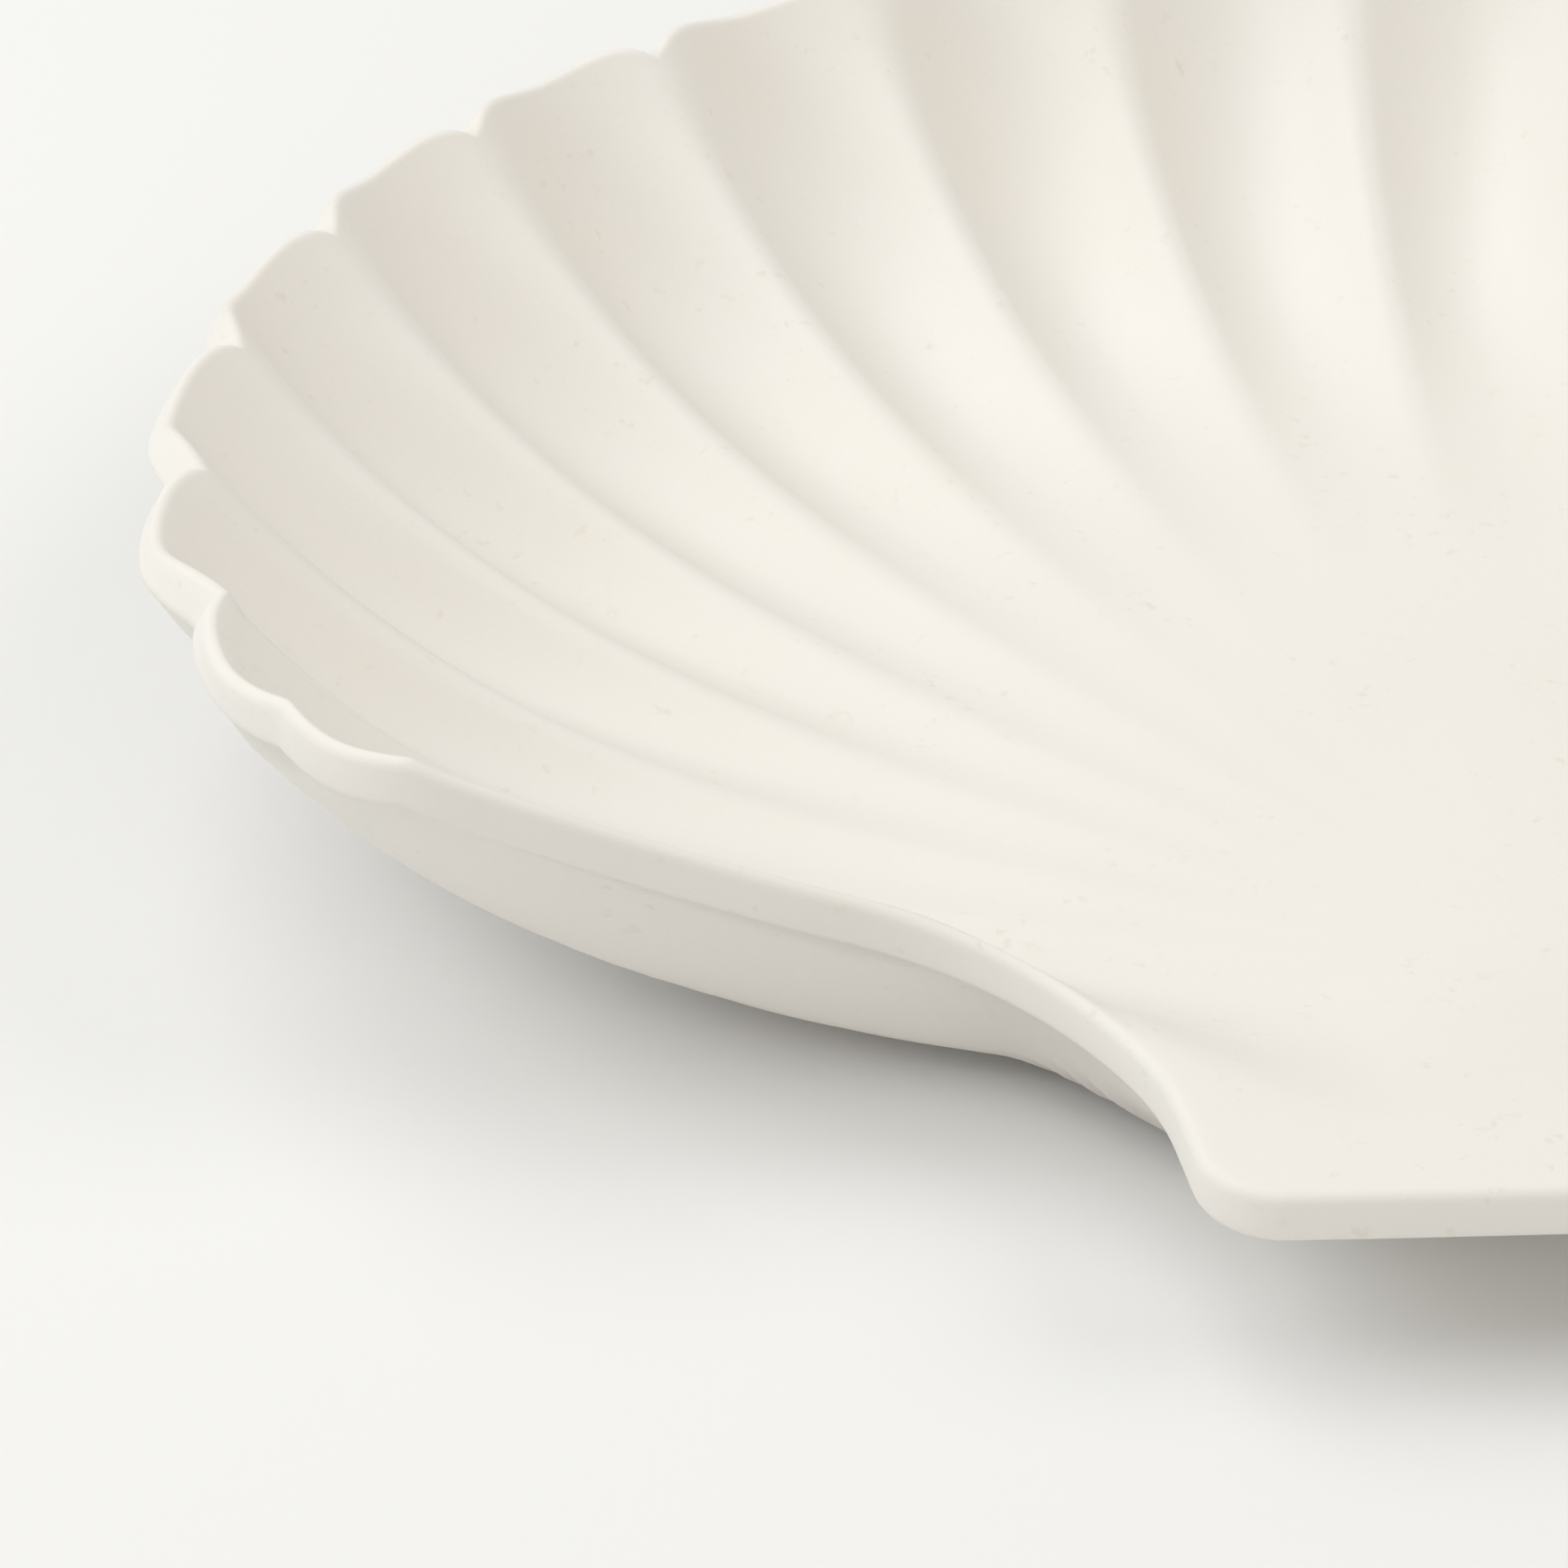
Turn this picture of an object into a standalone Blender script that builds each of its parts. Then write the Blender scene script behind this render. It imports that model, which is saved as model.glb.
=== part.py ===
"""Scallop shell platter: one cast piece with a fluted dish, a lobed rim and a flat tab in front."""

import bpy
import bmesh
import math
from mathutils import Vector

# Rim: an ellipse through the inner ends of the ridges, seen from above
RIM_HALF_WIDTH = 0.166
RIM_HALF_DEPTH = 0.158
RIM_HEIGHT = 0.049

# Flutes: they spread from one point near the tab, and end in lobes at the rim
FAN_POINT_FORWARD = 0.069       # from the middle of the rim's ellipse to the fan point
RIDGES_EACH_SIDE = 10           # the middle ridge is not counted
RIDGE_STEP = 10.0               # degrees between ridges at the back
RIDGE_STEP_EASE = 0.000048      # degrees times the fifth power of a ridge's number, tightens the last ones
LOBE_BULGE = 0.0066             # how far a lobe's middle stands out past the ellipse
LAST_LOBE_CUT = 0.45            # share of the bulge that the lobe next to the plain front edge lacks
LAST_LOBE_RANGE = 2.5           # how many ridges from the last one the bulge starts to shrink
LOBE_DIP = 0.0012               # how far a lobe's middle lies under the ridges' ends
RIDGE_RISE = 4.5                # power of the ridge's climb from floor to rim
GROOVE_RISE = 7.0               # power of the groove's climb
CREST_POWER = 2.2               # higher makes the ridges narrower
FLUTE_FADE = 0.09               # distance behind the front edge over which the ridges die out

# Dish and slab
FLOOR_HEIGHT = 0.0105           # top of the floor above the table
WALL = 0.0065                   # thickness of the slab
EDGE_ROUND = 0.0012             # rounding of the edges
FOOT_LIFT = 0.0006              # how high the dish has climbed where its foot ends
FOOT_BLEND = 0.007              # climb of the dish over which the thicker foot thins out to the slab
FOOT_INSET = 0.02               # how far inside that line the flat foot starts, as a share of the way out
FRONT_WALL_RUN = 0.020          # plan width of the wall behind the plain front edge, on top
UNDER_WALL_RUN = 0.0065         # the same below, where the wall is steeper
UNDER_CORNER_RUN = 0.0135       # how much wider it is below at the corners
UNDER_RISE = 6.8                # power of the climb below
UNDER_FLUTES = 0.64             # depth of the flutes and lobes below, as a share of those on top
LIP_START = -0.009              # distance ahead of the ellipse's middle where the rim begins to turn level
LIP_END = 0.076                 # the same to where it is level
FLOOR_FORWARD = 0.033           # how much further forward the wall's top lies inside the tab
FLOOR_EASE = 0.033              # how much longer the wall's run is there
EASE_OUTER = 0.080              # from the middle to where it starts to grow
EASE_INNER = 0.011              # from the middle to where it is longest
FLOOR_TURN_OUTER = 0.085        # from the middle to where the wall starts to swing forward
UNDER_TURN_OUTER = 0.0675       # the same below
FLOOR_TURN_INNER = 0.030        # from the middle to where it lies across the tab

# Plain front edge and tab
CORNER_X = 0.1465               # where the lobed rim would meet the front edge
CORNER_FORWARD = 0.0755         # from the ellipse's middle to that corner
CORNER_RUN = 0.15               # share of the front edge taken up by the rounded corner
NECK_X = 0.0595                 # where the front edge would meet the tab
NECK_FORWARD = 0.0034           # how much further forward the neck lies than the corner
CLIMB_END_X = 0.138             # where the front edge has climbed to the rim's height
CLIMB_POWER = 1.3               # above 1 it climbs slowly at first
TAB_HALF_WIDTH = 0.053
TAB_LENGTH = 0.0451             # from the neck to the tab's front
TAB_HEIGHT = 0.0237
NECK_ROUND = 0.036
TAB_ROUND = 0.0093
TAB_BLEND = 0.006               # softens the line where the dish turns flat at the front

# Mesh fineness
LOBE_STEPS = 8
EDGE_STEPS = 8
ARC_STEPS = 5
RINGS_TOP = 13
RINGS_UNDER = 7
RING_POWER = 0.65               # under 1 it sets the rings closer together near the rim
HUB_FORWARD = 0.045             # from the ellipse's middle to the point that the rings close in on
LEAN_SHARE = 0.35               # share of the ridges, at the front, where the rings' lines leave the flutes
BEND_SHARE = 0.55               # share of the way out within which those lines bend to the hub
SLOPE_STEP = 0.002              # distance over which the slab's slope is taken
EDGE_GAP = 0.02                 # least gap left between the bowl's height at the front edge and the rim's
FACET_ANGLE = 40.0              # degrees above which an edge is shaded sharp


def clamp(value, low=0.0, high=1.0):
    return min(max(value, low), high)


def smooth(value):
    value = clamp(value)
    return value * value * (3.0 - 2.0 * value)


def ridge_angle(number):
    return math.radians(RIDGE_STEP * number - RIDGE_STEP_EASE * number ** 5)


def ridge_number(x, y):
    """Ridge number of a plan position, counted from the middle ridge round the fan point."""
    angle = math.degrees(math.atan2(abs(x), y + FAN_POINT_FORWARD))
    number = angle / RIDGE_STEP
    for guess in range(6):
        number = (angle + RIDGE_STEP_EASE * number ** 5) / RIDGE_STEP
        number = min(number, float(RIDGES_EACH_SIDE))
    return number


def lobe_bulge(number):
    """Bulge of the lobe at a ridge number. The last lobe on each side is flatter."""
    return LOBE_BULGE * (1.0 - LAST_LOBE_CUT * smooth(number - RIDGES_EACH_SIDE + LAST_LOBE_RANGE))


def rim_point(number, depth):
    """Plan position on the rim at a ridge number, with the lobe's bulge between ridges."""
    angle = ridge_angle(number)
    dx = math.sin(angle) / RIM_HALF_WIDTH
    dy = math.cos(angle) / RIM_HALF_DEPTH
    start = -FAN_POINT_FORWARD / RIM_HALF_DEPTH
    a = dx * dx + dy * dy
    b = 2.0 * start * dy
    c = start * start - 1.0
    reach = (-b + math.sqrt(b * b - 4.0 * a * c)) / (2.0 * a)
    across = 2.0 * (number - math.floor(number)) - 1.0
    reach += lobe_bulge(number) * depth * (1.0 - across * across)
    return Vector((-reach * math.sin(angle), reach * math.cos(angle) - FAN_POINT_FORWARD))


def fillet(before, corner, after, radius, steps):
    """Points along the arc that rounds a plan corner."""
    back = (before - corner).normalized()
    forth = (after - corner).normalized()
    half = 0.5 * back.angle(forth)
    reach = radius / math.tan(half)
    centre = corner + (back + forth).normalized() * (radius / math.sin(half))
    start = corner + back * reach - centre
    end = corner + forth * reach - centre
    turn = math.atan2(start.x * end.y - start.y * end.x, start.dot(end))
    points = []
    for step in range(steps + 1):
        angle = turn * step / steps
        c = math.cos(angle)
        s = math.sin(angle)
        points.append(centre + Vector((c * start.x - s * start.y, s * start.x + c * start.y)))
    return points


def half_outline(depth):
    """Left half of the slab's outline, from the middle ridge to the middle of the tab's front."""
    points = []
    last = RIDGES_EACH_SIDE - 1
    for step in range(last * LOBE_STEPS + 1):
        points.append(rim_point(step / LOBE_STEPS, depth))
    corner = Vector((-CORNER_X, -CORNER_FORWARD))
    neck = Vector((-NECK_X, -CORNER_FORWARD - NECK_FORWARD))
    tab = Vector((-TAB_HALF_WIDTH, neck.y - TAB_LENGTH))
    front = Vector((0.0, tab.y))
    # From the last ridge the rim runs round into the plain front edge
    start = points[-1]
    end = corner.lerp(neck, CORNER_RUN)
    for step in range(1, EDGE_STEPS + 1):
        t = step / EDGE_STEPS
        points.append(start.lerp(corner, t).lerp(corner.lerp(end, t), t))
    neck_arc = fillet(end, neck, tab, NECK_ROUND, ARC_STEPS)
    for step in range(1, EDGE_STEPS):
        points.append(end.lerp(neck_arc[0], step / EDGE_STEPS))
    points.extend(neck_arc)
    tab_arc = fillet(neck, tab, front, TAB_ROUND, ARC_STEPS)
    points.append(neck_arc[-1].lerp(tab_arc[0], 0.5))
    points.extend(tab_arc)
    for step in range(1, ARC_STEPS + 1):
        points.append(tab_arc[-1].lerp(front, step / ARC_STEPS))
    return points


def full_outline(depth):
    left = half_outline(depth)
    return left + [Vector((-point.x, point.y)) for point in reversed(left[1:-1])]


def corner_share(x):
    """0 at the neck and inside it, 1 at the corner."""
    return clamp((abs(x) - NECK_X) / (CORNER_X - NECK_X))


def front_line(x, under):
    """Plan position of the wall's top: the plain front edge, and a bow forward into the tab."""
    outer = UNDER_TURN_OUTER if under else FLOOR_TURN_OUTER
    turn = smooth((outer - abs(x)) / (outer - FLOOR_TURN_INNER))
    return -CORNER_FORWARD - NECK_FORWARD * (1.0 - corner_share(x)) - FLOOR_FORWARD * turn


def front_share(x):
    """Height of the plain front edge, as a share of the rise from floor to rim."""
    low = (TAB_HEIGHT - FLOOR_HEIGHT) / (RIM_HEIGHT - FLOOR_HEIGHT)
    share = clamp((abs(x) - NECK_X) / (CLIMB_END_X - NECK_X))
    return low + (1.0 - low) * share ** CLIMB_POWER


def wall_run(x, under):
    """Plan width of the wall behind the front edge. It is longer inside the tab, as a ramp."""
    outer = TAB_HALF_WIDTH if under else EASE_OUTER
    ease = FLOOR_EASE * smooth((outer - abs(x)) / (outer - EASE_INNER))
    if under:
        return UNDER_WALL_RUN + UNDER_CORNER_RUN * corner_share(x) + ease
    return FRONT_WALL_RUN + ease


def ellipse_share(x, y):
    return math.hypot(x / RIM_HALF_WIDTH, y / RIM_HALF_DEPTH)


def height(x, y, depth=1.0, under=False):
    """Upper surface of the dish and tab, or the one that the underside follows."""
    line = front_line(x, under)
    gap = y - line
    held = line + 0.5 * (gap + math.hypot(gap, TAB_BLEND))
    number = ridge_number(x, y)
    across = 2.0 * (number - math.floor(number)) - 1.0
    share = ellipse_share(x, held)
    rise = UNDER_RISE if under else GROOVE_RISE
    lobe = 1.0 - across * across if number < RIDGES_EACH_SIDE - 1 else 0.0
    lobed = share / (1.0 + lobe_bulge(number) / RIM_HALF_WIDTH * lobe * depth)
    tall = RIM_HEIGHT - FLOOR_HEIGHT
    dip = LOBE_DIP / tall * lobe
    groove = (1.0 - dip) * lobed ** rise
    # Past the last ridge the flutes die out towards the front edge
    crest = abs(across) ** CREST_POWER * smooth(gap / FLUTE_FADE) * depth
    crest *= smooth(RIDGES_EACH_SIDE - number)
    bowl = groove + (share ** RIDGE_RISE - groove) * crest
    edge = ellipse_share(x, line) ** rise
    climb = clamp(1.0 - (1.0 - front_share(x)) / max(1.0 - edge, EDGE_GAP))
    wall = climb * smooth(1.0 - gap / wall_run(x, under))
    return FLOOR_HEIGHT + tall * (1.0 - (1.0 - bowl) * (1.0 - wall))


def lip_share(y):
    """1 where the slab lies level along the plain front edge and the tab, 0 in the open dish."""
    return smooth((-y - LIP_START) / (LIP_END - LIP_START))


def slab_up(x, y):
    """The slab's direction, square to the dish without its flutes, taken over a few millimetres."""
    side_x = bowl_height(x + SLOPE_STEP, y) - bowl_height(x - SLOPE_STEP, y)
    side_y = bowl_height(x, y + SLOPE_STEP) - bowl_height(x, y - SLOPE_STEP)
    lean = 1.0 - lip_share(y)
    return Vector((-side_x * lean, -side_y * lean, 2.0 * SLOPE_STEP)).normalized()


def bowl_height(x, y):
    return (RIM_HEIGHT - FLOOR_HEIGHT) * ellipse_share(x, y) ** GROOVE_RISE


def under_point(x, y):
    """Point of the underside below a plan position. Near the foot the slab thickens to the table."""
    top = height(x, y, UNDER_FLUTES, True)
    extra = (FLOOR_HEIGHT - WALL) * (1.0 - smooth((top - FLOOR_HEIGHT) / FOOT_BLEND))
    return Vector((x, y, top - extra)) - slab_up(x, y) * WALL


def inward(point, share, lean):
    """Plan position on the way from the outline to the hub. It starts along the flutes."""
    pull = lean * smooth(share / BEND_SHARE)
    target = Vector((0.0, -HUB_FORWARD - (FAN_POINT_FORWARD - HUB_FORWARD) * pull))
    return target.lerp(point, share)


def foot_share(point, lean):
    """Share of the way out at which the dish leaves its foot."""
    low = 0.0
    high = 1.0
    for halving in range(24):
        middle = 0.5 * (low + high)
        plan = inward(point, middle, lean)
        if height(plan.x, plan.y, 0.0, True) > FLOOR_HEIGHT + FOOT_LIFT:
            high = middle
        else:
            low = middle
    return low


def edge_frames(outline):
    """Direction up through the slab and out of its edge at each point of the outline."""
    frames = []
    for index, point in enumerate(outline):
        up = slab_up(point.x, point.y)
        along = (outline[(index + 1) % len(outline)] - outline[index - 1]).to_3d()
        out = along.cross(up).normalized()
        frames.append((up, -out if out.dot(point.to_3d()) < 0.0 else out))
    return frames


def slab_loops():
    """Closed loops of points: out over the top, round the edge and in below to the foot."""
    outline = full_outline(1.0)
    below = full_outline(UNDER_FLUTES)
    frames = edge_frames(outline)
    tops = []
    unders = []
    starts_top = []
    starts_under = []
    leans = []
    for point, low, (up, out) in zip(outline, below, frames):
        number = ridge_number(point.x, point.y)
        leans.append(smooth((RIDGES_EACH_SIDE - number) / (LEAN_SHARE * RIDGES_EACH_SIDE)))
        tops.append(Vector((point.x, point.y, height(point.x, point.y))))
        unders.append(under_point(low.x, low.y))
        # The rings start square in from the edge, clear of its rounding
        step_in = out.to_2d().normalized() * (2.0 * EDGE_ROUND)
        starts_top.append(point - step_in)
        starts_under.append(low - step_in)
    loops = []
    for ring in range(1, RINGS_TOP + 1):
        share = (ring / RINGS_TOP) ** RING_POWER
        loop = []
        for start, lean in zip(starts_top, leans):
            plan = inward(start, share, lean)
            loop.append(Vector((plan.x, plan.y, height(plan.x, plan.y))))
        loops.append(loop)
    loops.append([top - out * EDGE_ROUND for top, (up, out) in zip(tops, frames)])
    loops.append([top - up * EDGE_ROUND for top, (up, out) in zip(tops, frames)])
    loops.append([under + up * EDGE_ROUND for under, (up, out) in zip(unders, frames)])
    loops.append([under - out * EDGE_ROUND for under, (up, out) in zip(unders, frames)])
    feet = [foot_share(start, lean) for start, lean in zip(starts_under, leans)]
    for ring in range(RINGS_UNDER + 1):
        loop = []
        for start, lean, foot in zip(starts_under, leans, feet):
            share = foot + (1.0 - foot) * (1.0 - ring / RINGS_UNDER)
            plan = inward(start, share, lean)
            loop.append(under_point(plan.x, plan.y))
        loops.append(loop)
    loop = []
    for start, lean, foot in zip(starts_under, leans, feet):
        plan = inward(start, foot - FOOT_INSET, lean)
        loop.append(Vector((plan.x, plan.y, 0.0)))
    loops.append(loop)
    return loops


def build_mesh():
    bm = bmesh.new()
    loops = slab_loops()
    count = len(loops[0])
    ring = bmesh.ops.create_circle(bm, segments=count, radius=0.01)["verts"]
    for vert, place in zip(ring, loops[0]):
        vert.co = place
    bm.edges.ensure_lookup_table()
    first = list(bm.edges)
    edges = first
    for loop in loops[1:]:
        made = bmesh.ops.extrude_edge_only(bm, edges=edges)["geom"]
        edges = [item for item in made if isinstance(item, bmesh.types.BMEdge)]
        edges = [edge for edge in edges if len(edge.link_faces) == 1]
        old = ring
        ring = []
        for vert in old:
            for edge in vert.link_edges:
                other = edge.other_vert(vert)
                if other not in old and len(other.link_faces) == 2 and other.co == vert.co:
                    ring.append(other)
                    break
        for vert, place in zip(ring, loop):
            vert.co = place
    caps = bmesh.ops.holes_fill(bm, edges=bm.edges, sides=0)["faces"]
    made = bmesh.ops.poke(bm, faces=caps)["verts"]
    for vert in made:
        if vert.co.z > 0.5 * FLOOR_HEIGHT:
            vert.co.z = height(vert.co.x, vert.co.y)
        else:
            vert.co.z = 0.0
    bmesh.ops.recalc_face_normals(bm, faces=bm.faces)
    low_x = min(vert.co.x for vert in bm.verts)
    high_x = max(vert.co.x for vert in bm.verts)
    low_y = min(vert.co.y for vert in bm.verts)
    high_y = max(vert.co.y for vert in bm.verts)
    middle = Vector((-0.5 * (low_x + high_x), -0.5 * (low_y + high_y), 0.0))
    bmesh.ops.translate(bm, verts=bm.verts, vec=middle)
    mesh = bpy.data.meshes.new("platter")
    bm.to_mesh(mesh)
    bm.free()
    return mesh


def stoneware():
    material = bpy.data.materials.new("Matte stoneware")
    material.use_nodes = True
    shader = material.node_tree.nodes["Principled BSDF"]
    shader.inputs["Base Color"].default_value = (0.82, 0.79, 0.73, 1.0)
    shader.inputs["Roughness"].default_value = 0.7
    shader.inputs["Metallic"].default_value = 0.0
    return material


def main():
    for old in list(bpy.data.objects):
        bpy.data.objects.remove(old, do_unlink=True)
    mesh = build_mesh()
    mesh.shade_smooth()
    mesh.set_sharp_from_angle(angle=math.radians(FACET_ANGLE))
    mesh.materials.append(stoneware())
    platter = bpy.data.objects.new("platter", mesh)
    bpy.context.scene.collection.objects.link(platter)


main()
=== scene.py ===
import math

import bmesh
import bpy
from mathutils import Euler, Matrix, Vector


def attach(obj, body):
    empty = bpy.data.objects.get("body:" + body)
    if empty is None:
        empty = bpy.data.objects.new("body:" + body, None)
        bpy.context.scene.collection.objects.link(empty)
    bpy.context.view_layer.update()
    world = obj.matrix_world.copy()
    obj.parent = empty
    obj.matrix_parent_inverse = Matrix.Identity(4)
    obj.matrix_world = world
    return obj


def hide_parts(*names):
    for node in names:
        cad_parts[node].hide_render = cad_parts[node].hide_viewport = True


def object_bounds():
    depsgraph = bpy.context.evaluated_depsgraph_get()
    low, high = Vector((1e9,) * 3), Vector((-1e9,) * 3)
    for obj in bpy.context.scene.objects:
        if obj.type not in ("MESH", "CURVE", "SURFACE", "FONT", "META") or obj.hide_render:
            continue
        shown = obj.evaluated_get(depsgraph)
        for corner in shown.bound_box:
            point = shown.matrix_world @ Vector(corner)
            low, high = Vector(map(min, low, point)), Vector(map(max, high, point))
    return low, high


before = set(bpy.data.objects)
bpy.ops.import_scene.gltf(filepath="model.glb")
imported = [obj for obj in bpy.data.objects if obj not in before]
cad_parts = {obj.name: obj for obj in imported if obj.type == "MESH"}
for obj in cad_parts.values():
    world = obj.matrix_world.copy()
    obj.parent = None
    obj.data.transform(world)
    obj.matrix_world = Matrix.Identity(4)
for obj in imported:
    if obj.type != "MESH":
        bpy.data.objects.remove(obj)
cadLow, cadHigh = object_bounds()
print("frame loaded")

# Sizes in metres. Plan places count from the middle of the rim's ellipse.
shell = {
    "rimHalfWidth": 0.166,
    "rimHalfDepth": 0.158,
    "rimHeight": 0.0486,
    "fanPoint": 0.069,          # from the ellipse's middle forward to where the flutes meet
    "ridges": 10,               # on each side of the middle ridge
    "ridgeStep": 10.0,          # degrees
    "ridgeStepEase": 0.000048,  # degrees times the fifth power of a ridge's number
    "lobeBulge": 0.0064,
    "lastLobeCut": 0.45,
    "lastLobeRange": 2.5,
    "lobeDip": 0.0012,
    "ridgeRise": 4.3,
    "ridgeReach": 0.6,          # the back ridges run further into the floor than the side ones
    "lastRidgeEnd": 0.5,        # the ridges fade out this many places before the last one
    "lastRidgeRange": 1.5,
    "grooveRise": 7.0,
    "crestPower": 2.2,
    "crestRound": 0.0016,       # rounding of the ridges
    "fluteFade": 0.09,
    "hubClear": 0.065,          # within this of the fan point the ridges sink into the floor
    "sideClear": 0.1,           # added to it for the side ridges
    "floorHeight": 0.0105,
    "wall": 0.0065,
    "edgeRound": 0.0014,
    "footLift": 0.0006,
    "footBlend": 0.007,
    "footInset": 0.010,         # the flat foot starts this far inside where the dish leaves the floor
    "footGap": 0.0025,          # clear height ahead of the foot
    # Shares of the gap's height and of the inset, where the gap closes onto the foot
    "footCurve": ((0.85, 1.03), (0.15, 1.2), (0.0, 1.3)),
    "footRings": (0.75, 0.5, 0.25),
    "frontWallRun": 0.020,
    "underWallRun": 0.005,
    "underCornerRun": 0.0125,
    "underRise": 6.8,
    "underFlutes": 0.64,
    "lipStart": -0.009,
    "lipEnd": 0.076,
    "floorForward": 0.033,
    "floorEase": 0.033,
    "easeOuter": 0.080,
    "easeInner": 0.011,
    "turnOuter": 0.085,
    "underTurnOuter": 0.072,
    "turnInner": 0.030,
    "cornerX": 0.1465,
    "cornerForward": 0.0755,
    "cornerRun": 0.15,
    "neckX": 0.0595,
    "neckForward": 0.0034,
    "climbEndX": 0.138,
    "climbPower": 1.3,
    "tabHalfWidth": 0.053,
    "tabLength": 0.0451,
    "tabHeight": 0.0237,
    "neckRound": 0.036,
    "tabRound": 0.0093,
    "tabBlend": 0.006,
    "lobeSteps": 24,
    "edgeSteps": 26,
    "arcSteps": 14,
    "topRings": 60,
    "roundSteps": 4,
    "underRings": 26,
    "ringPower": 0.75,
    "underRingPower": 1.1,
    "edgeClear": 2.0,           # the rings start this many rounding radii in from the edge
    "hubForward": 0.045,        # from the ellipse's middle to where the rings close
    "leanShare": 0.35,
    "bendShare": 0.55,
    "slopeStep": 0.002,
    "edgeGap": 0.02,
    "ridgeGuesses": 6,
    "footHalvings": 20,
    "leastPitch": 0.000001,
}

rimTall = shell["rimHeight"] - shell["floorHeight"]
# The solid is centred on its own box, so the ellipse's middle lies a little behind the origin
tabFront = -shell["cornerForward"] - shell["neckForward"] - shell["tabLength"]
ellipseY = cadLow.y - tabFront


def clamp(value, low=0.0, high=1.0):
    return min(max(value, low), high)


def smooth(value):
    value = clamp(value)
    return value * value * (3.0 - 2.0 * value)


def ridgeNumber(x, y):
    angle = math.degrees(math.atan2(abs(x), y + shell["fanPoint"]))
    number = angle / shell["ridgeStep"]
    for guess in range(shell["ridgeGuesses"]):
        number = (angle + shell["ridgeStepEase"] * number ** 5) / shell["ridgeStep"]
        number = min(number, float(shell["ridges"]))
    return number


def lobeBulge(number):
    last = smooth(number - shell["ridges"] + shell["lastLobeRange"])
    return shell["lobeBulge"] * (1.0 - shell["lastLobeCut"] * last)


def rimPoint(number, depth):
    angle = math.radians(shell["ridgeStep"] * number - shell["ridgeStepEase"] * number ** 5)
    dx = math.sin(angle) / shell["rimHalfWidth"]
    dy = math.cos(angle) / shell["rimHalfDepth"]
    start = -shell["fanPoint"] / shell["rimHalfDepth"]
    a = dx * dx + dy * dy
    b = 2.0 * start * dy
    c = start * start - 1.0
    reach = (-b + math.sqrt(b * b - 4.0 * a * c)) / (2.0 * a)
    across = 2.0 * (number - math.floor(number)) - 1.0
    reach += lobeBulge(number) * depth * (1.0 - across * across)
    return Vector((-reach * math.sin(angle), reach * math.cos(angle) - shell["fanPoint"]))


def fillet(before, corner, after, radius, steps):
    back = (before - corner).normalized()
    forth = (after - corner).normalized()
    half = 0.5 * back.angle(forth)
    reach = radius / math.tan(half)
    centre = corner + (back + forth).normalized() * (radius / math.sin(half))
    start = corner + back * reach - centre
    end = corner + forth * reach - centre
    turn = math.atan2(start.x * end.y - start.y * end.x, start.dot(end))
    points = []
    for step in range(steps + 1):
        c = math.cos(turn * step / steps)
        s = math.sin(turn * step / steps)
        points.append(centre + Vector((c * start.x - s * start.y, s * start.x + c * start.y)))
    return points


def leftOutline(depth):
    points = []
    steps = shell["lobeSteps"]
    for step in range((shell["ridges"] - 1) * steps + 1):
        points.append(rimPoint(step / steps, depth))
    corner = Vector((-shell["cornerX"], -shell["cornerForward"]))
    neck = Vector((-shell["neckX"], -shell["cornerForward"] - shell["neckForward"]))
    tab = Vector((-shell["tabHalfWidth"], tabFront))
    front = Vector((0.0, tabFront))
    steps = shell["edgeSteps"]
    start = points[-1]
    end = corner.lerp(neck, shell["cornerRun"])
    for step in range(1, steps + 1):
        t = step / steps
        points.append(start.lerp(corner, t).lerp(corner.lerp(end, t), t))
    neckArc = fillet(end, neck, tab, shell["neckRound"], 2 * shell["arcSteps"])
    for step in range(1, steps):
        points.append(end.lerp(neckArc[0], step / steps))
    points.extend(neckArc)
    tabArc = fillet(neck, tab, front, shell["tabRound"], shell["arcSteps"])
    for step in range(1, 4):
        points.append(neckArc[-1].lerp(tabArc[0], step / 4.0))
    points.extend(tabArc)
    for step in range(1, steps + 1):
        points.append(tabArc[-1].lerp(front, step / steps))
    return points


def fullOutline(depth):
    left = leftOutline(depth)
    return left + [Vector((-point.x, point.y)) for point in reversed(left[1:-1])]


def cornerShare(x):
    return clamp((abs(x) - shell["neckX"]) / (shell["cornerX"] - shell["neckX"]))


def frontLine(x, under):
    outer = shell["underTurnOuter"] if under else shell["turnOuter"]
    turn = smooth((outer - abs(x)) / (outer - shell["turnInner"]))
    return (-shell["cornerForward"] - shell["neckForward"] * (1.0 - cornerShare(x))
            - shell["floorForward"] * turn)


def frontShare(x):
    low = (shell["tabHeight"] - shell["floorHeight"]) / rimTall
    share = clamp((abs(x) - shell["neckX"]) / (shell["climbEndX"] - shell["neckX"]))
    return low + (1.0 - low) * share ** shell["climbPower"]


def wallRun(x, under):
    outer = shell["tabHalfWidth"] if under else shell["easeOuter"]
    ease = shell["floorEase"] * smooth((outer - abs(x)) / (outer - shell["easeInner"]))
    if under:
        return shell["underWallRun"] + shell["underCornerRun"] * cornerShare(x) + ease
    return shell["frontWallRun"] + ease


def ellipseShare(x, y):
    return math.hypot(x / shell["rimHalfWidth"], y / shell["rimHalfDepth"])


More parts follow.
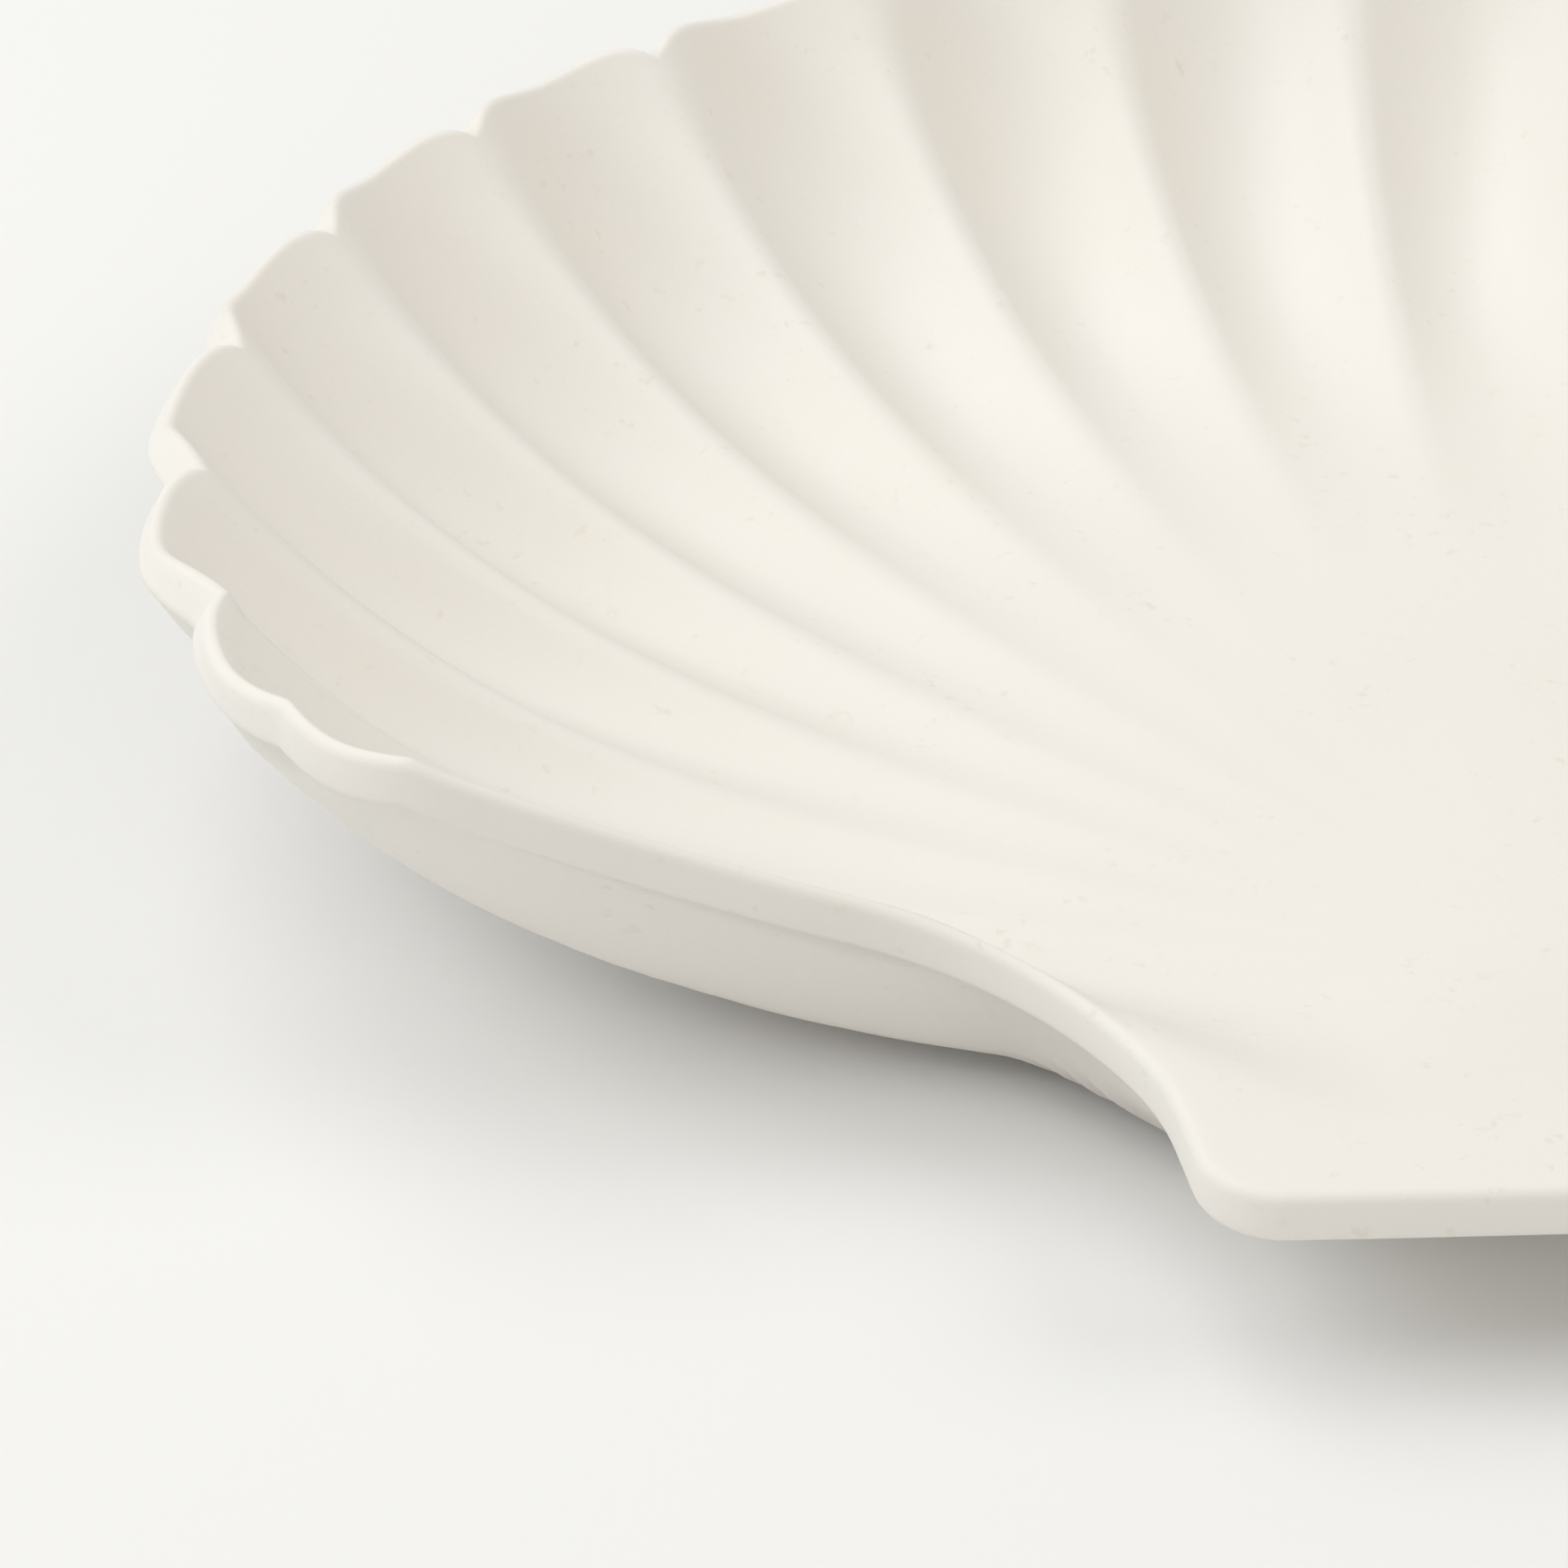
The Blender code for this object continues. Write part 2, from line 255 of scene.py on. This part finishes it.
def height(x, y, depth=1.0, under=False):
    line = frontLine(x, under)
    gap = y - line
    held = line + 0.5 * (gap + math.hypot(gap, shell["tabBlend"]))
    number = ridgeNumber(x, y)
    across = 2.0 * (number - math.floor(number)) - 1.0
    share = ellipseShare(x, held)
    rise = shell["underRise"] if under else shell["grooveRise"]
    lobe = 1.0 - across * across if number < shell["ridges"] - 1 else 0.0
    lobed = share / (1.0 + lobeBulge(number) / shell["rimHalfWidth"] * lobe * depth)
    groove = (1.0 - shell["lobeDip"] / rimTall * lobe) * lobed ** rise
    # Place across the ridge, rounded off over a millimetre or two at the crest
    fromFan = math.hypot(x, y + shell["fanPoint"])
    pitch = 0.5 * math.radians(shell["ridgeStep"]) * fromFan + shell["leastPitch"]
    crestRound = shell["crestRound"] / pitch
    aside = math.hypot(1.0 - abs(across), crestRound) - crestRound
    crest = clamp(1.0 - aside) ** shell["crestPower"] * smooth(gap / shell["fluteFade"]) * depth
    last = shell["ridges"] - shell["lastRidgeEnd"]
    crest *= smooth((last - number) / shell["lastRidgeRange"])
    side = smooth(number / (shell["ridges"] - 1))
    clear = shell["hubClear"] + shell["sideClear"] * side * side
    crest *= smooth(fromFan / clear)
    ridge = share ** (shell["ridgeRise"] - shell["ridgeReach"] * (1.0 - side))
    bowl = groove + (ridge - groove) * crest
    edge = ellipseShare(x, line) ** rise
    climb = clamp(1.0 - (1.0 - frontShare(x)) / max(1.0 - edge, shell["edgeGap"]))
    wall = climb * smooth(1.0 - gap / wallRun(x, under))
    return shell["floorHeight"] + rimTall * (1.0 - (1.0 - bowl) * (1.0 - wall))


def slabUp(x, y):
    step = shell["slopeStep"]
    rise = shell["grooveRise"]
    sideX = rimTall * (ellipseShare(x + step, y) ** rise - ellipseShare(x - step, y) ** rise)
    sideY = rimTall * (ellipseShare(x, y + step) ** rise - ellipseShare(x, y - step) ** rise)
    lean = 1.0 - smooth((-y - shell["lipStart"]) / (shell["lipEnd"] - shell["lipStart"]))
    return Vector((-sideX * lean, -sideY * lean, 2.0 * step)).normalized()


def topPoint(plan):
    return Vector((plan.x, plan.y, height(plan.x, plan.y)))


def underPoint(plan):
    # Near the foot the slab thickens, and its lowest part stays a little above the table
    top = height(plan.x, plan.y, shell["underFlutes"], True)
    thin = smooth((top - shell["floorHeight"]) / shell["footBlend"])
    extra = (shell["floorHeight"] - shell["wall"] - shell["footGap"]) * (1.0 - thin)
    return Vector((plan.x, plan.y, top - extra)) - slabUp(plan.x, plan.y) * shell["wall"]


def inward(point, share, lean):
    pull = lean * smooth(share / shell["bendShare"])
    hub = shell["hubForward"] + (shell["fanPoint"] - shell["hubForward"]) * pull
    return Vector((0.0, -hub)).lerp(point, share)


def footShare(point, lean):
    low = 0.0
    high = 1.0
    for halving in range(shell["footHalvings"]):
        middle = 0.5 * (low + high)
        plan = inward(point, middle, lean)
        if height(plan.x, plan.y, 0.0, True) > shell["floorHeight"] + shell["footLift"]:
            high = middle
        else:
            low = middle
    return low


def edgeFrames(outline):
    # Direction up through the slab and out of its edge at each point of the outline
    count = len(outline)
    frames = []
    for index, point in enumerate(outline):
        up = slabUp(point.x, point.y)
        along = (outline[(index + 1) % count] - outline[index - 1]).to_3d()
        out = along.cross(up).normalized()
        frames.append((up, -out if out.dot(point.to_3d()) < 0.0 else out))
    return frames


def sectionPath(point, below, lean, up, out):
    # From beside the hub out over the top, round the edge and back below. The rings start
    # square in from the edge, clear of its rounding
    radius = shell["edgeRound"]
    stepIn = out.to_2d().normalized() * (shell["edgeClear"] * radius)
    path = []
    rings = shell["topRings"]
    for ring in range(1, rings + 1):
        path.append(topPoint(inward(point - stepIn, (ring / rings) ** shell["ringPower"], lean)))
    top = topPoint(point)
    under = underPoint(below)
    steps = shell["roundSteps"]
    for step in range(steps + 1):
        angle = 0.5 * math.pi * step / steps
        path.append(top - (up + out) * radius
                    + (up * math.cos(angle) + out * math.sin(angle)) * radius)
    path.append(top.lerp(under, 0.5))
    for step in range(steps + 1):
        angle = 0.5 * math.pi * step / steps
        path.append(under + (up - out) * radius
                    + (out * math.cos(angle) - up * math.sin(angle)) * radius)
    foot = footShare(below - stepIn, lean)
    rings = shell["underRings"]
    for ring in range(rings + 1):
        share = foot + (1.0 - foot) * (1.0 - ring / rings) ** shell["underRingPower"]
        path.append(underPoint(inward(below - stepIn, share, lean)))
    inset = shell["footInset"] / (below.to_3d() + Vector((0.0, shell["hubForward"], 0.0))).length
    plan = inward(below - stepIn, foot - inset, lean)
    path.append(Vector((plan.x, plan.y, shell["footGap"])))
    for drop, part in shell["footCurve"]:
        plan = inward(below - stepIn, foot - inset * part, lean)
        path.append(Vector((plan.x, plan.y, shell["footGap"] * drop)))
    for share in shell["footRings"]:
        plan = inward(below - stepIn, (foot - part * inset) * share, lean)
        path.append(Vector((plan.x, plan.y, 0.0)))
    return path


def makePlatter():
    outline = fullOutline(1.0)
    below = fullOutline(shell["underFlutes"])
    paths = []
    for point, low, (up, out) in zip(outline, below, edgeFrames(outline)):
        number = ridgeNumber(point.x, point.y)
        lean = smooth((shell["ridges"] - number) / (shell["leanShare"] * shell["ridges"]))
        paths.append(sectionPath(point, low, lean, up, out))
    columns = len(paths)
    rows = len(paths[0]) + 1
    # A ball gives the closed skin: its top pole goes to the hub in the dish, its lower one
    # below it on the foot, and each meridian onto one section
    bm = bmesh.new()
    bmesh.ops.create_uvsphere(bm, u_segments=columns, v_segments=rows, radius=1.0)
    for vert in bm.verts:
        row = round(math.acos(clamp(vert.co.z, -1.0)) / math.pi * rows)
        column = round(math.atan2(vert.co.y, vert.co.x) / (2.0 * math.pi) * columns) % columns
        if row == 0:
            vert.co = (0.0, -shell["hubForward"], height(0.0, -shell["hubForward"]))
        elif row == rows:
            vert.co = (0.0, -shell["hubForward"], 0.0)
        else:
            vert.co = paths[column][row - 1]
    bmesh.ops.translate(bm, verts=bm.verts, vec=(0.0, ellipseY, 0.0))
    bmesh.ops.recalc_face_normals(bm, faces=bm.faces)
    mesh = bpy.data.meshes.new("platterBody")
    bm.to_mesh(mesh)
    bm.free()
    mesh.shade_smooth()
    platter = bpy.data.objects.new("platterBody", mesh)
    bpy.context.scene.collection.objects.link(platter)
    return platter


clay = {
    "color": (0.81, 0.785, 0.742),
    "warmColor": (0.795, 0.76, 0.70),
    "speckColor": (0.64, 0.56, 0.44),
    "specular": 0.35,
    "mottle": (22.0, 3.0, 0.6),     # a noise's scale, detail and roughness
    "mottleRange": (0.35, 0.7),
    "mottleShare": 0.5,
    "speck": (400.0, 2.0, 0.6),
    "speckRange": (0.63, 0.72),
    "speckShare": 0.26,
    "patch": (60.0, 2.0, 0.5),
    "patchRange": (0.46, 0.62),
    "rough": (90.0, 3.0, 0.6),
    "roughRange": (0.3, 0.7),
    "roughness": (0.56, 0.68),
    "grain": (1500.0, 3.0, 0.6),
    "grainStrength": 0.12,
    "grainDepth": 0.0003,
}


def stonewareMaterial():
    material = bpy.data.materials.new("matteStoneware")
    material.use_nodes = True
    nodes = material.node_tree.nodes
    links = material.node_tree.links
    shader = nodes["Principled BSDF"]
    shader.inputs["Specular IOR Level"].default_value = clay["specular"]
    place = nodes.new("ShaderNodeTexCoord").outputs["Object"]

    def noise(name):
        node = nodes.new("ShaderNodeTexNoise")
        for socket, value in zip(("Scale", "Detail", "Roughness"), clay[name]):
            node.inputs[socket].default_value = value
        links.new(place, node.inputs["Vector"])
        return node.outputs["Fac"]

    def span(value, given, wanted):
        node = nodes.new("ShaderNodeMapRange")
        node.inputs["From Min"].default_value, node.inputs["From Max"].default_value = given
        node.inputs["To Min"].default_value, node.inputs["To Max"].default_value = wanted
        links.new(value, node.inputs["Value"])
        return node.outputs["Result"]

    def mix(share, first, second):
        node = nodes.new("ShaderNodeMix")
        node.data_type = "RGBA"
        # The colour mix has its share in input 0 and its two colours in inputs 6 and 7
        for index, value in ((0, share), (6, first), (7, second)):
            if isinstance(value, bpy.types.NodeSocket):
                links.new(value, node.inputs[index])
            else:
                node.inputs[index].default_value = (*value, 1.0)
        return node.outputs[2]

    # Slow drift between a cool and a warm off-white, with faint tan specks in loose patches
    mottle = span(noise("mottle"), clay["mottleRange"], (0.0, clay["mottleShare"]))
    body = mix(mottle, clay["color"], clay["warmColor"])
    dots = span(noise("speck"), clay["speckRange"], (0.0, 1.0))
    patch = span(noise("patch"), clay["patchRange"], (0.0, 1.0))
    both = nodes.new("ShaderNodeMath")
    both.operation = "MULTIPLY"
    links.new(dots, both.inputs[0])
    links.new(patch, both.inputs[1])
    faint = span(both.outputs[0], (0.0, 1.0), (0.0, clay["speckShare"]))
    links.new(mix(faint, body, clay["speckColor"]), shader.inputs["Base Color"])
    rough = span(noise("rough"), clay["roughRange"], clay["roughness"])
    links.new(rough, shader.inputs["Roughness"])
    bump = nodes.new("ShaderNodeBump")
    bump.inputs["Strength"].default_value = clay["grainStrength"]
    bump.inputs["Distance"].default_value = clay["grainDepth"]
    links.new(noise("grain"), bump.inputs["Height"])
    links.new(bump.outputs["Normal"], shader.inputs["Normal"])
    return material


platter = makePlatter()
platter.data.materials.append(stonewareMaterial())
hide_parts("platter")
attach(platter, "root")
print("platter made:", len(platter.data.polygons), "faces")

# A pale table under a plain sky, with four soft lamps that all point at the platter
studio = {
    "floorSize": 6.0,
    "floorColor": (0.82, 0.82, 0.817),
    "floorRoughness": 0.9,
    "floorSpecular": 0.1,
    "skyColor": (1.0, 0.97, 0.92),
    "skyStrength": 0.565,
    "lampSize": 1.1,
    "backPlace": (-0.64, 0.64, 1.44),
    "backPower": 6.4,
    "backColor": (0.95, 0.98, 1.0),
    "leftPlace": (-1.34, -0.05, 1.05),
    "leftPower": 10.4,
    "leftColor": (0.95, 0.98, 1.0),
    "rightPlace": (1.14, -0.05, 1.26),
    "rightPower": 5.0,
    "rightColor": (1.0, 0.985, 0.96),
    "frontPlace": (0.45, -1.40, 0.85),
    "frontPower": 3.2,
    "frontColor": (1.0, 0.985, 0.95),
}


def makeFloor():
    bm = bmesh.new()
    bmesh.ops.create_grid(bm, x_segments=1, y_segments=1, size=0.5 * studio["floorSize"])
    mesh = bpy.data.meshes.new("table")
    bm.to_mesh(mesh)
    bm.free()
    material = bpy.data.materials.new("paleTable")
    material.use_nodes = True
    shader = material.node_tree.nodes["Principled BSDF"]
    shader.inputs["Base Color"].default_value = (*studio["floorColor"], 1.0)
    shader.inputs["Roughness"].default_value = studio["floorRoughness"]
    shader.inputs["Specular IOR Level"].default_value = studio["floorSpecular"]
    mesh.materials.append(material)
    table = bpy.data.objects.new("table", mesh)
    bpy.context.scene.collection.objects.link(table)


def makeLamp(side):
    place = Vector(studio[side + "Place"])
    lamp = bpy.data.lights.new(side + "Lamp", "AREA")
    lamp.shape = "DISK"
    lamp.size = studio["lampSize"]
    lamp.energy = studio[side + "Power"]
    lamp.color = studio[side + "Color"]
    holder = bpy.data.objects.new(side + "Lamp", lamp)
    holder.location = place
    holder.rotation_euler = (-place).to_track_quat("-Z", "Y").to_euler()
    bpy.context.scene.collection.objects.link(holder)


def makeWorld():
    world = bpy.data.worlds.new("softRoom")
    world.use_nodes = True
    sky = world.node_tree.nodes["Background"]
    sky.inputs["Color"].default_value = (*studio["skyColor"], 1.0)
    sky.inputs["Strength"].default_value = studio["skyStrength"]
    bpy.context.scene.world = world


makeFloor()
for side in ("back", "left", "right", "front"):
    makeLamp(side)
makeWorld()
print("floor and lights made")

# The photograph looks down from just left of the tab, with a long lens
view = {
    "place": (-0.10855, -0.46836, 0.30068),     # back and forth from the ellipse's middle
    "turn": 0.038,              # radians to the right of straight back
    "down": 0.575,              # radians below level
    "focalPixels": 5200.0,
    "imagePixels": 1932.0,
    "centreRight": 30.7,        # pixels from the image's middle to the lens axis
    "centreUp": 9.0,
    "sensor": 36.0,             # millimetres
    "clipStart": 0.01,
}


def makeCamera():
    lens = bpy.data.cameras.new("photoCamera")
    lens.sensor_width = view["sensor"]
    lens.lens = view["focalPixels"] / view["imagePixels"] * view["sensor"]
    lens.shift_x = -view["centreRight"] / view["imagePixels"]
    lens.shift_y = -view["centreUp"] / view["imagePixels"]
    lens.clip_start = view["clipStart"]
    holder = bpy.data.objects.new("photoCamera", lens)
    x, y, z = view["place"]
    holder.location = (x, y + ellipseY, z)
    holder.rotation_euler = Euler((0.5 * math.pi - view["down"], 0.0, -view["turn"]))
    bpy.context.scene.collection.objects.link(holder)
    bpy.context.scene.camera = holder


makeCamera()
bpy.context.scene.view_settings.view_transform = "Standard"
